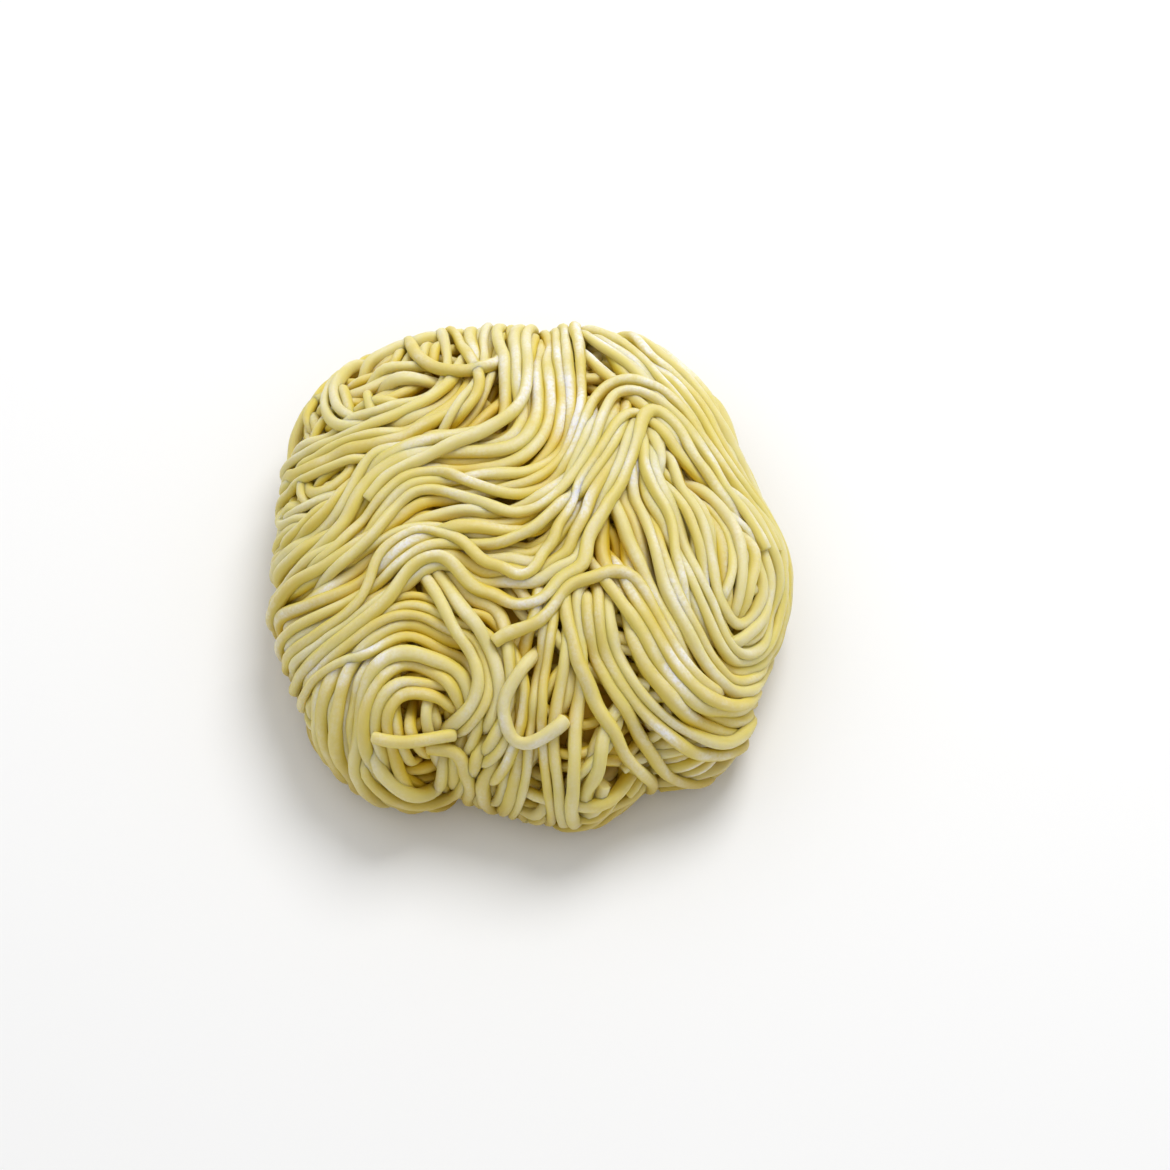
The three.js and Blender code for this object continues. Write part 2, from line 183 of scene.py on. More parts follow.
# The sheaves, lowest first. Widths are at the start, middle and end, and dives are the lengths
# over which the two ends go in under the others.
sheaves = [
    {"name": "rightEdge", "strands": 6, "widths": (12, 13, 12), "dives": (0, 0),
     "spine": [(20, 80), (24, 62), (30, 48), (38, 37), (47, 26), (55, 13), (59, 0), (59, -14),
               (54, -28), (46, -41), (36, -52), (24, -60)]},
    {"name": "upperLeft", "strands": 3, "widths": (8, 7, 6), "dives": (0, 8),
     "spine": [(-72, 42), (-60, 38), (-50, 34), (-42, 29), (-35, 27), (-28, 27), (-22, 24), (-18, 19)]},
    {"name": "leftCorner", "strands": 3, "widths": (8, 9, 7), "dives": (0, 8),
     "spine": [(-58, 58), (-49, 45), (-43, 35), (-41, 26), (-43, 17), (-49, 9), (-52, 0)]},
    {"name": "upperLeftCross", "strands": 2, "widths": (5, 5, 4), "dives": (0, 8),
     "spine": [(-54, 60), (-46, 48), (-39, 39), (-33, 34), (-27, 30), (-22, 26), (-19, 20), (-20, 13)]},
    {"name": "backLeft", "strands": 4, "widths": (9, 8, 7), "dives": (0, 12),
     "spine": [(-23, 80), (-23, 62), (-22, 48), (-22, 39), (-25, 32), (-32, 29), (-40, 31), (-49, 35)]},
    {"name": "leftLow", "strands": 4, "widths": (8, 7, 6), "dives": (0, 8),
     "spine": [(-80, 28), (-66, 26), (-54, 22), (-45, 19), (-37, 16), (-30, 17), (-24, 18), (-18, 15)]},
    {"name": "leftCurl", "strands": 3, "widths": (7, 6, 5), "dives": (0, 12),
     "spine": [(-82, 13), (-66, 11), (-55, 8), (-47, 9), (-41, 13), (-34, 14), (-28, 12), (-22, 11),
               (-18, 14), (-18, 20), (-24, 24), (-32, 24), (-41, 23)]},
    {"name": "leftRise", "strands": 4, "widths": (9, 8, 6), "dives": (0, 8),
     "spine": [(-82, 2), (-66, 3), (-54, 2), (-45, -1), (-37, 0), (-31, 4), (-24, 7), (-16, 7)]},
    {"name": "fan", "strands": 5, "widths": (11, 9, 8), "dives": (0, 14),
     "spine": [(-10, 80), (-10, 62), (-10, 47), (-9, 36), (-12, 27), (-17, 21), (-24, 19), (-33, 20),
               (-43, 19), (-54, 21), (-66, 26)]},
    {"name": "fanInner", "strands": 2, "widths": (4, 4, 4), "dives": (0, 14),
     "spine": [(-4, 80), (-4, 60), (-3, 44), (-4, 33), (-7, 26), (-12, 20), (-15, 14), (-21, 10),
               (-29, 10), (-38, 10), (-48, 6), (-60, 6)]},
    {"name": "backRight", "strands": 5, "widths": (10, 10, 10), "dives": (0, 0),
     "spine": [(15, 80), (17, 62), (21, 49), (28, 40), (36, 32), (45, 24), (53, 15), (61, 5), (70, -3),
               (82, -8)]},
    {"name": "heart", "strands": 5, "widths": (8, 9, 8), "dives": (10, 12),
     "spine": [(21, 30), (25, 22), (30, 13), (34, 4), (36, -5), (37, -14), (36, -22), (33, -29)]},
    {"name": "innerTip", "strands": 3, "widths": (4, 6, 4), "dives": (10, 0),
     "spine": [(35, 18), (40, 10), (43, 1), (44, -7), (43.5, -14), (42, -20)]},
    {"name": "lowerRight", "stout": 1.05, "strands": 4, "widths": (6, 8, 9), "dives": (10, 0),
     "spine": [(17, 24), (17.5, 12), (19, 0), (21, -11), (24.5, -20.5), (29.5, -28), (36, -33.5),
               (44, -35.5), (53, -34.5), (63, -31), (84, -25)]},
    {"name": "rightLoop", "stout": 1.05, "strands": 3, "widths": (5, 5, 6.5), "dives": (12, 0),
     "spine": [(23, 25), (28, 16), (33, 8), (37, -1), (38.5, -10), (38.5, -16), (39.5, -20.5),
               (42.5, -23.5), (46.5, -24.5), (50.5, -22), (53.5, -16), (54.5, -7), (51, 5), (44, 14),
               (35, 22), (26, 28), (18, 36), (13, 48), (12, 64), (12, 80)]},
    {"name": "topRight", "strands": 6, "widths": (13, 11, 5), "dives": (0, 10),
     "spine": [(14, 80), (14, 62), (17, 48), (24, 38), (34, 30), (44, 21), (53, 10), (58.5, -3),
               (60, -12), (58.5, -19.5), (55, -25), (50, -28.5), (44.5, -29.5), (39.5, -27.5),
               (36, -22), (33, -14), (30, -6), (27.5, 3), (24.5, 14), (21.5, 25)]},
    {"name": "frontStream", "strands": 5, "widths": (6, 10, 16), "dives": (10, 0),
     "spine": [(9, -4), (8, -12), (7, -22), (6, -32), (5, -42), (5, -53), (6, -64), (6, -76),
               (6, -84)]},
    {"name": "frontRight", "stout": 1.05, "strands": 3, "widths": (3, 5, 6), "dives": (10, 0),
     "spine": [(15.5, -3), (15.5, -11), (17, -19), (20.5, -27), (25, -33.5), (30, -37.5), (36, -39),
               (43, -39), (50, -37), (58, -36), (70, -38)]},
    {"name": "pocketLoop", "stout": 1.08, "strands": 2, "widths": (2, 3, 4), "dives": (10, 0),
     "spine": [(13.5, -8), (13.5, -15), (13.5, -23), (15.5, -30), (18.5, -35.5), (23, -40), (28, -44),
               (34, -47.5), (41, -49), (49, -47), (57, -47), (68, -52)]},
    {"name": "bigLoop", "stout": 1.1, "strands": 1, "widths": (0, 0, 0), "dives": (12, 0),
     "spine": [(14, 6), (12, -2), (10.5, -12), (10.5, -22), (11, -30), (12, -37), (14, -43),
               (18, -47.5), (23, -51), (29, -55), (37, -60), (48, -66)]},
    {"name": "leftWall", "strands": 6, "widths": (9, 12, 22), "dives": (12, 0),
     "spine": [(-26, -12), (-29, -20), (-33, -29), (-37, -40), (-40, -51), (-43, -63), (-47, -76)]},
    {"name": "steep", "strands": 3, "widths": (4, 6, 6), "dives": (10, 12),
     "spine": [(-23, 2), (-24, -5), (-22, -12), (-17, -19), (-13, -26), (-10, -34), (-10, -43),
               (-13, -53)]},
    {"name": "archFill", "strands": 4, "widths": (8, 9, 10), "dives": (12, 12),
     "spine": [(-21, -27), (-20.5, -35), (-19.5, -43), (-19, -51), (-20, -60)]},
    {"name": "innerArch", "stout": 1.08, "strands": 2, "widths": (5, 4, 4), "dives": (0, 10),
     "spine": [(-26, -84), (-27, -64), (-28, -50), (-28.5, -41), (-27.5, -35), (-24, -31), (-19.5, -31),
               (-16, -34), (-13, -38.5), (-10.5, -44), (-9, -53)]},
    {"name": "arches", "stout": 1.05, "strands": 3, "widths": (9, 6, 6), "dives": (0, 0),
     "spine": [(-40, -78), (-37, -60), (-34, -46), (-32, -36), (-28, -28), (-21, -25), (-15, -27.5),
               (-11, -33), (-8, -40), (-8, -50), (-11, -62), (-12, -84)]},
    {"name": "upperArches", "strands": 4, "widths": (7, 7, 6), "dives": (0, 12),
     "spine": [(-78, -36), (-62, -34), (-50, -31), (-40, -28), (-32, -24), (-24, -20), (-17, -20),
               (-10, -26), (-6, -34), (-5, -43), (-9, -52), (-18, -57)]},
    {"name": "underHook", "strands": 3, "widths": (4, 6, 6), "dives": (8, 12),
     "spine": [(-26, 0), (-23, -7), (-17, -12), (-11, -19), (-7, -27), (-4, -35), (-5, -43), (-10, -50),
               (-17, -55)]},
    {"name": "fourthWave", "strands": 5, "widths": (5, 8, 9), "dives": (12, 0),
     "spine": [(21, 27), (19, 20), (17, 12), (13, 3), (9, -5), (4, -11), (-3, -11), (-10, -7),
               (-17, -5), (-24, -8), (-29, -14), (-36, -19), (-46, -22), (-58, -23), (-72, -23),
               (-84, -23)]},
    {"name": "thirdWave", "strands": 5, "widths": (5, 8, 9), "dives": (12, 0),
     "spine": [(16, 30), (15.5, 22), (13, 11), (7, 1), (-1, -4), (-9, -4), (-17, -2), (-24, -4),
               (-30, -9), (-38, -13), (-49, -15), (-61, -15), (-74, -16), (-84, -16)]},
    {"name": "stream", "strands": 8, "widths": (13, 12, 12), "dives": (0, 0),
     "spine": [(3, 80), (3, 62), (3, 47), (3, 35), (5, 24), (3, 14), (-3, 10), (-11, 10), (-19, 11),
               (-27, 9), (-34, 3), (-42, -3), (-52, -6), (-64, -7), (-82, -7)]},
    {"name": "streamInner", "strands": 2, "widths": (4, 4, 4), "dives": (0, 12),
     "spine": [(-2, 80), (-2, 58), (-1, 42), (0, 31), (0, 24), (-4, 19), (-10, 17), (-16, 15),
               (-23, 14), (-30, 11), (-36, 5)]},
    {"name": "whiteWave", "stout": 1.02, "strands": 2, "widths": (3, 4, 4), "dives": (0, 14),
     "spine": [(55, -4), (51, 8), (45, 16), (38, 23), (31, 28.5), (24, 31.5), (18.5, 31.5), (15, 28.5),
               (14, 23), (13, 17), (11, 11), (8, 5.5), (3, 2), (-3, 1.5), (-9, 4), (-16, 8), (-23, 9),
               (-30, 5), (-35, -3), (-42, -9), (-52, -12)]},
    {"name": "hook", "stout": 1.05, "strands": 2, "widths": (3, 3, 4), "dives": (12, 0),
     "spine": [(50, -2), (44, 9), (36, 18), (29, 24.5), (23, 27.5), (19.5, 24), (18.5, 18), (17, 11.5),
               (14.5, 4), (11.5, -4), (9, -12), (5, -18), (0, -20.5), (-5, -18), (-9, -13.5), (-14, -9),
               (-21, -7), (-25, -12), (-29, -20), (-37, -25), (-48, -28), (-61, -29), (-78, -30)]},
    {"name": "curledEnd", "stout": 1.02, "strands": 1, "widths": (0, 0, 0), "dives": (0, 14),
     "loose": True,
     "spine": [(-7, -30), (-2, -27), (4, -24), (8, -19), (11, -14), (16, -12), (21, -14), (24, -20),
               (27, -27), (33, -32), (41, -34)]},
    {"name": "frontRing", "stout": 1.08, "strands": 1, "widths": (0, 0, 0), "dives": (8, 0),
     "loose": True,
     "spine": [(2, -29), (-0.5, -34), (-3.5, -39.5), (-5, -44.5), (-4, -49), (-0.5, -51), (3.5, -47.5),
               (8.5, -41)]},
    {"name": "leftFold", "strands": 2, "widths": (4, 4, 4), "dives": (8, 8),
     "spine": [(-32, -40), (-32.5, -48), (-31, -56), (-27, -63), (-21, -66), (-16, -62), (-14, -55),
               (-14, -48)]},
    {"name": "cutEnd", "strands": 1, "widths": (0, 0, 0), "dives": (0, 0),
     "loose": True,
     "spine": [(-29, -41.5), (-24, -43), (-19, -45), (-14, -46.5)]},
    {"name": "secondCutEnd", "stout": 1.02, "strands": 1, "widths": (0, 0, 0), "dives": (0, 0),
     "loose": True,
     "spine": [(-20, -48), (-16.5, -50.5), (-13, -53), (-11, -58), (-12, -66), (-14, -82)]},
    {"name": "frontTip", "strands": 2, "widths": (3, 3, 4), "dives": (8, 0),
     "spine": [(38, -58), (30, -59), (23, -62), (18, -67), (14, -74), (10, -84)]},
]


def splinePoints(corners, perSpan=40):
    p = np.array(corners, float)
    spans = len(p) - 1
    x = np.linspace(0, spans, spans * perSpan + 1)
    i = np.minimum(np.floor(x).astype(int), spans - 1)
    f = (x - i)[:, None]
    before, here = p[np.maximum(i - 1, 0)], p[i]
    after, last = p[i + 1], p[np.minimum(i + 2, spans)]
    return 0.5 * (2 * here + (after - before) * f + (2 * before - 5 * here + 4 * after - last) * f ** 2
                  + (3 * here - before - 3 * after + last) * f ** 3)


def evenly(path, step):
    lengths = np.r_[0, np.cumsum(np.linalg.norm(np.diff(path, axis=0), axis=1))]
    count = max(int(round(lengths[-1] / step)), 4)
    stops = np.linspace(0, lengths[-1], count + 1)
    return np.stack([np.interp(stops, lengths, path[:, k]) for k in range(path.shape[1])], -1)


def smoothed(path, times=1):
    path = path.copy()
    for _ in range(times):
        path[1:-1] = (path[:-2] + 2 * path[1:-1] + path[2:]) / 4
    return path


# A slow wander between seeded knots
def wander(draw, count, reach, wave):
    knots = max(int(count * lay["step"] / wave) + 2, 3)
    values = np.array([draw(-reach, reach) for _ in range(knots)])
    x = np.linspace(0, knots - 1, count)
    i = np.minimum(x.astype(int), knots - 2)
    f = (x - i) ** 2 * (3 - 2 * (x - i))
    return values[i] * (1 - f) + values[i + 1] * f


def noodleRadius(draw):
    return lay["width"] / 2 * (1 + lay["widthSpread"] * (draw() - 0.5))


def sheafPaths(sheaf, draw):
    middle = smoothed(evenly(splinePoints(sheaf["spine"]), lay["step"]), 10)
    count = len(middle)
    share = np.linspace(0, 1, count)
    along = np.gradient(middle, axis=0)
    along /= np.linalg.norm(along, axis=1, keepdims=True)
    side = np.stack([-along[:, 1], along[:, 0]], -1)
    fromTop = np.maximum(np.hypot(middle[:, 0], middle[:, 1]), 1)
    radial = middle / fromTop[:, None]
    # down the side the unrolled skin is wider than the mound, so lanes are spread to match
    spread = np.maximum(fromTop / np.maximum(profileAt(fromTop)[0], 4), 1) - 1
    width = np.interp(share, (0, 0.5, 1), sheaf["widths"])
    loose = sheaf.get("loose", False)
    paths = []
    for i in range(sheaf["strands"]):
        lane = i / (sheaf["strands"] - 1) - 0.5 if sheaf["strands"] > 1 else 0
        radius = noodleRadius(draw) * sheaf.get("stout", 1)
        first = 0 if loose else int(draw(0, lay["endStagger"]) / lay["step"])
        last = count if loose else count - int(draw(0, lay["endStagger"]) / lay["step"])
        bold = lay["boldStray"] if draw() < lay["boldShare"] and not loose else 1
        stray = wander(draw, count, lay["stray"] * bold * (0.25 if loose else 1),
                       lay["strayLength"] * bold ** 0.5 * draw(0.8, 1.4))
        aside = side * (lane * width + stray)[:, None]
        roundward = aside - radial * np.sum(aside * radial, axis=1, keepdims=True)
        spots = middle + aside + roundward * spread[:, None]
        spots = evenly(smoothed(spots[first:last], 14), lay["step"])
        paths.append({"radius": radius, "spots": spots, "dives": sheaf["dives"]})
    return paths


def girdlePaths(girdle, draw):
    paths = []
    piece = 2 * math.pi / girdleRound["pieces"]
    for i in range(girdleRound["pieces"]):
        radius = noodleRadius(draw)
        count = int(round(piece * mound["reach"] / lay["step"]))
        angle = (girdle["start"] + piece * i
                 + (piece + girdleRound["overlap"]) * np.arange(count + 1) / count)
        ripple = girdleRound["ripple"]
        swing = girdle["swing"] * (1 - ripple + ripple * np.sin(girdleRound["rippleRate"] * angle))
        length = girdle["reach"] + swing * np.sin(girdle["waves"] * angle + girdle["start"])
        spots = np.stack([length * np.cos(angle), length * np.sin(angle)], -1)
        paths.append({"radius": radius, "spots": spots})
    return paths


# A noodle that roams over the mound and turns back at its edge
def roamingPath(draw, rule):
    count = int(draw(rule["shortest"], rule["longest"]) / lay["step"])
    turning = wander(draw, count, 1 / rule["tightest"], lay["turnLength"])
    start, bearing = rule["edge"] * math.sqrt(draw()), draw(0, 2 * math.pi)
    middle = np.array(rule.get("middle", (0, 0)), float)
    spot = np.array([start * math.cos(bearing), start * math.sin(bearing)])
    heading = draw(0, 2 * math.pi)
    spots = []
    for i in range(count):
        spots.append(spot)
        spot = spot + lay["step"] * np.array([math.cos(heading), math.sin(heading)])
        heading += turning[i] * lay["step"]
        over = np.hypot(*spot) - rule["edge"] + rule["margin"]
        if over > 0:
            inward = math.atan2(-spot[1], -spot[0])
            heading += min(over, lay["steering"]) * rule["turn"] * math.sin(inward - heading)
    spots = np.array(spots)
    if "middle" not in rule:
        far = np.maximum(np.hypot(spots[:, 0], spots[:, 1]), 1)
        spots *= (np.minimum(far, rule["edge"]) / far)[:, None]
    return {"radius": noodleRadius(draw), "spots": smoothed(spots + middle, 8),
            "dives": rule.get("dives", (0, 0))}


nothingThere = -99.0  # a height under all others


# Lays a noodle on the core, or on the table, and over those that are there already
def settle(path, laid, onTable=False):
    radius = path["radius"]
    if onTable:
        skin = np.c_[path["spots"], np.zeros(len(path["spots"]))]
        outward = np.tile((0.0, 0.0, 1.0), (len(skin), 1))
        heights = np.full(len(skin), radius * press["tableShare"])
    else:
        skin, outward = onSkin(path["spots"])
        length = np.hypot(path["spots"][:, 0], path["spots"][:, 1])
        heights = np.interp(length, (skinReach - 6, skinReach + 4),
                            (-lay["coreDepth"], -lay["edgeDepth"])) + radius
    low, high = skin.min(axis=0) - lay["near"], skin.max(axis=0) + lay["near"]
    for other in laid:
        if (other["high"] < low).any() or (other["low"] > high).any():
            continue
        gap = (radius + other["radius"]) * lay["press"]
        offset = other["points"][None] - skin[:, None]
        rise = np.einsum("ijk,ik->ij", offset, outward)
        across = np.einsum("ijk,ijk->ij", offset, offset) - rise ** 2
        touch = (across < gap * gap) & (rise > -lay["near"]) & (rise < lay["above"])
        lift = np.where(touch, rise + np.sqrt(np.maximum(gap * gap - across, 0)), nothingThere)
        heights = np.maximum(heights, lift.max(axis=1))
    fall = lay["bridgeSlope"] * lay["step"]
    for i in range(1, len(heights)):
        heights[i] = max(heights[i], heights[i - 1] - fall)
    for i in range(len(heights) - 2, -1, -1):
        heights[i] = max(heights[i], heights[i + 1] - fall)
    heights = smoothed(heights[:, None], 4)[:, 0]
    fromStart = np.arange(len(heights))
    for length, run in zip(path.get("dives", (0, 0)), (fromStart, fromStart[::-1])):
        if length:
            left = np.clip(1 - run * lay["step"] / length, 0, 1)
            heights -= lay["diveDepth"] * left ** 2 * (3 - 2 * left)
    if onTable:
        heights = np.minimum(heights, base["highest"])
    points = skin + outward * heights[:, None]
    return {"radius": radius, "points": points, "skin": skin, "outward": outward,
            "spots": path["spots"], "onTable": onTable, "heights": heights,
            "low": points.min(axis=0), "high": points.max(axis=0)}


# The whole pile is brought level with the skin: how high it stands is mapped over the unrolled
# skin, blurred, and taken off every noodle
level = {"cell": 2.0, "half": 64, "blurs": 14, "top": -0.8}


def levelled(laid):
    size = 2 * level["half"] + 1
    height = np.full((size, size), nothingThere)
    for noodle in laid:
        cells = np.round(noodle["spots"] / level["cell"]).astype(int) + level["half"]
        cells = np.clip(cells, 1, size - 2)
        for dx in (-1, 0, 1):
            for dy in (-1, 0, 1):
                np.maximum.at(height, (cells[:, 0] + dx, cells[:, 1] + dy), noodle["heights"])
    known = height > nothingThere
    total = np.where(known, height, 0)
    weight = known.astype(float)
    for _ in range(level["blurs"]):
        for grid in (total, weight):
            grid[1:-1] = (grid[:-2] + grid[1:-1] + grid[2:]) / 3
            grid[:, 1:-1] = (grid[:, :-2] + grid[:, 1:-1] + grid[:, 2:]) / 3
    pile = total / np.maximum(weight, 1e-6)
    for noodle in laid:
        place = noodle["spots"] / level["cell"] + level["half"]
        cell = np.clip(np.floor(place).astype(int), 0, size - 2)
        i, j = cell.T
        f, g = np.clip(place - cell, 0, 1).T
        here = (pile[i, j] * (1 - f) * (1 - g) + pile[i + 1, j] * f * (1 - g)
                + pile[i, j + 1] * (1 - f) * g + pile[i + 1, j + 1] * f * g)
        noodle["heights"] = noodle["heights"] - here + level["top"]
        noodle["points"] = noodle["skin"] + noodle["outward"] * noodle["heights"][:, None]


# Noodles that press into each other move apart, and buried ones come up until they touch
press = {
    "rounds": 150,
    "pairsEvery": 10,
    "reach": 3.6,
    "rise": 0.07,
    "filled": -2.2,  # noodles come up to this height under the skin
    "highest": 1.5,
    "sameNoodle": 8,  # points so near along one noodle aren't taken as touching
    "crossing": 0.5,  # mm by which the later of two crossing noodles is taken to be the upper
    "tableShare": 0.86,  # a noodle on the table lies at this share of its radius
}


def nearPairs(points, owner):
    tree = kdtree.KDTree(len(points))
    for i, point in enumerate(points):
        tree.insert(point, i)
    tree.balance()
    pairs = []
    for i, point in enumerate(points):
        for _, j, _ in tree.find_range(point, press["reach"]):
            if j > i and (owner[j] != owner[i] or j - i > press["sameNoodle"]):
                pairs.append((i, j))
    return np.array(pairs).T


def pressApart(laid):
    counts = [len(noodle["points"]) for noodle in laid]
    points = np.concatenate([noodle["points"] for noodle in laid])
    skin = np.concatenate([noodle["skin"] for noodle in laid])
    outward = np.concatenate([noodle["outward"] for noodle in laid])
    radius = np.repeat([noodle["radius"] for noodle in laid], counts)
    owner = np.repeat(np.arange(len(laid)), counts)
    fromTop = np.concatenate([np.hypot(n["spots"][:, 0], n["spots"][:, 1]) for n in laid])
    under = np.interp(fromTop, (skinReach - 5, skinReach + 1), (0, 1))
    highest = press["highest"] * (1 - under) - radius * under
    onTable = np.repeat([noodle["onTable"] for noodle in laid], counts)
    highest[onTable] = base["highest"]
    number = np.arange(len(points))
    before = np.where(np.r_[False, owner[1:] == owner[:-1]], number - 1, number)
    after = np.where(np.r_[owner[1:] == owner[:-1], False], number + 1, number)
    rest = points.copy()
    for turn in range(press["rounds"]):
        if turn % press["pairsEvery"] == 0:
            a, b = nearPairs(points, owner)
            gap = (radius[a] + radius[b]) * lay["press"]
            above = np.where(onTable[b] & ~onTable[a], -1, 1) * (owner[a] != owner[b])
            upper = outward[b] * (press["crossing"] * above)[:, None]
        offset = points[b] - points[a]
        over = np.maximum(gap - np.linalg.norm(offset, axis=1), 0)
        offset += upper
        push = offset * (0.5 * over / np.maximum(np.linalg.norm(offset, axis=1), 1e-6))[:, None]
        touched = np.bincount(a, over > 0, len(points)) + np.bincount(b, over > 0, len(points))
        move = np.stack([np.bincount(b, push[:, k], len(points)) - np.bincount(a, push[:, k], len(points))
                         for k in range(3)], -1) / np.maximum(touched, 1)[:, None]
        height = np.sum((points - skin) * outward, axis=1)
        move += outward * (press["rise"] * ((height < press["filled"]) & ~onTable))[:, None]
        shift = points + move - rest
        points = rest + (shift[before] + 2 * shift + shift[after]) / 4
        height = np.sum((points - skin) * outward, axis=1)
        points -= outward * np.maximum(height - highest, 0)[:, None]
        points[:, 2] = np.maximum(points[:, 2], radius * press["tableShare"])
    start = 0
    for noodle, count in zip(laid, counts):
        noodle["points"] = smoothed(points[start:start + count], 2)
        noodle["heights"] = np.sum((noodle["points"] - noodle["skin"]) * noodle["outward"], axis=1)
        start += count
    print("noodles pressed apart, deepest overlap left", round(float(over.max()), 2), "mm")


# The filling and the girdles come first, then the tangles and sheaves, then the underside
draw = Draw(lay["seed"])
laid = []
fillerDraw = Draw(filler["seed"])
for _ in range(filler["count"]):
    laid.append(settle(roamingPath(fillerDraw, filler), laid))
for girdle in girdles:
    for path in girdlePaths(girdle, draw):
        laid.append(settle(path, laid))
lowerCount = len(laid)
for sheaf in sheaves:
    if sheaf["name"] == "arches":
        middleCount = len(laid)
    for tangle in tangles:
        if tangle["before"] == sheaf["name"]:
            tangleDraw = Draw(tangle["seed"])
            for _ in range(tangle["count"]):
                laid.append(settle(roamingPath(tangleDraw, tangle), laid))
    for path in sheafPaths(sheaf, draw):
        laid.append(settle(path, laid))
levelled(laid)
baseDraw = Draw(base["seed"])
bottom = []
for _ in range(base["count"]):
    bottom.append(settle(roamingPath(baseDraw, base), bottom, onTable=True))
pressApart(laid + bottom)
print("noodles laid:", len(laid))

# The section of a noodle, nearly square with rounded edges
section = {
    "sides": 12,
    "lowerSides": 8,
    "squareness": 2.45,  # 2 is round
    "flatness": 0.1,
    "twist": 0.8,
    "twistLength": (9, 16),
    "swell": 0.06,  # how much the width varies along a noodle
    "swellLength": (3, 6),
    "dent": 0.025,  # and over a few millimetres
    "dentLength": (0.8, 1.4),
    "tip": 0.25,  # the edge of a cut end is rounded by this share of the radius
    "seed": 5,
}

# The dusting. Each spot with more flour is right and back of the top, how far it spreads, and
# how much lies there.
flouring = {
    "least": 0.45,
    "spots": [(7, 26, 13, 2.0), (9, 40, 13, 1.8), (-4, 40, 11, 1.2), (24, 38, 15, 1.4),
              (14, 24, 6, 2.2), (0, -20, 7, 2.2), (9, 2, 6, 2.0), (-9, 5, 8, 1.2),
              (20, -13, 7, 1.7), (38, 15, 10, 1.2), (36, -14, 9, 1.3), (27, -10, 8, 1.1),
              (30, -30, 10, 1.3), (-22, -8, 7, 1.7), (0, -47, 8, 1.4), (28, -41, 7, 1.5),
              (-42, -14, 8, 1.1), (-38, -30, 9, 1.1), (-20, 14, 6, 1.2), (46, 4, 11, 1.0),
              (-28, -29, 8, 1.3), (-36, 32, 7, 0.9), (-58, -16, 10, 1.3), (41, -50, 8, 1.4),
              (24, 10, 8, 1.2)],
    "lean": 0.5,  # the streak of flour lies up to so many radians beside the ridge
    "leanLength": (8, 15),
    "patchy": 0.35,
    "patchLength": (2, 5),
    "ridge": 0.5,  # height on the noodle, as a share, from which flour lies
    "deepest": 3.0,  # mm under the skin where it ends
    "fade": 2.2,
}


def flourAt(spots):
    amount = np.full(len(spots), flouring["least"])
    for right, back, spreads, most in flouring["spots"]:
        far = np.hypot(spots[:, 0] - right, spots[:, 1] - back) / spreads
        amount = np.maximum(amount, most * np.exp(-far ** 2))
    return amount


# A seeded wave along a noodle
def waveAlong(run, lengths, draw):
    return np.sin(run / draw(*lengths) + draw(0, 6.3))


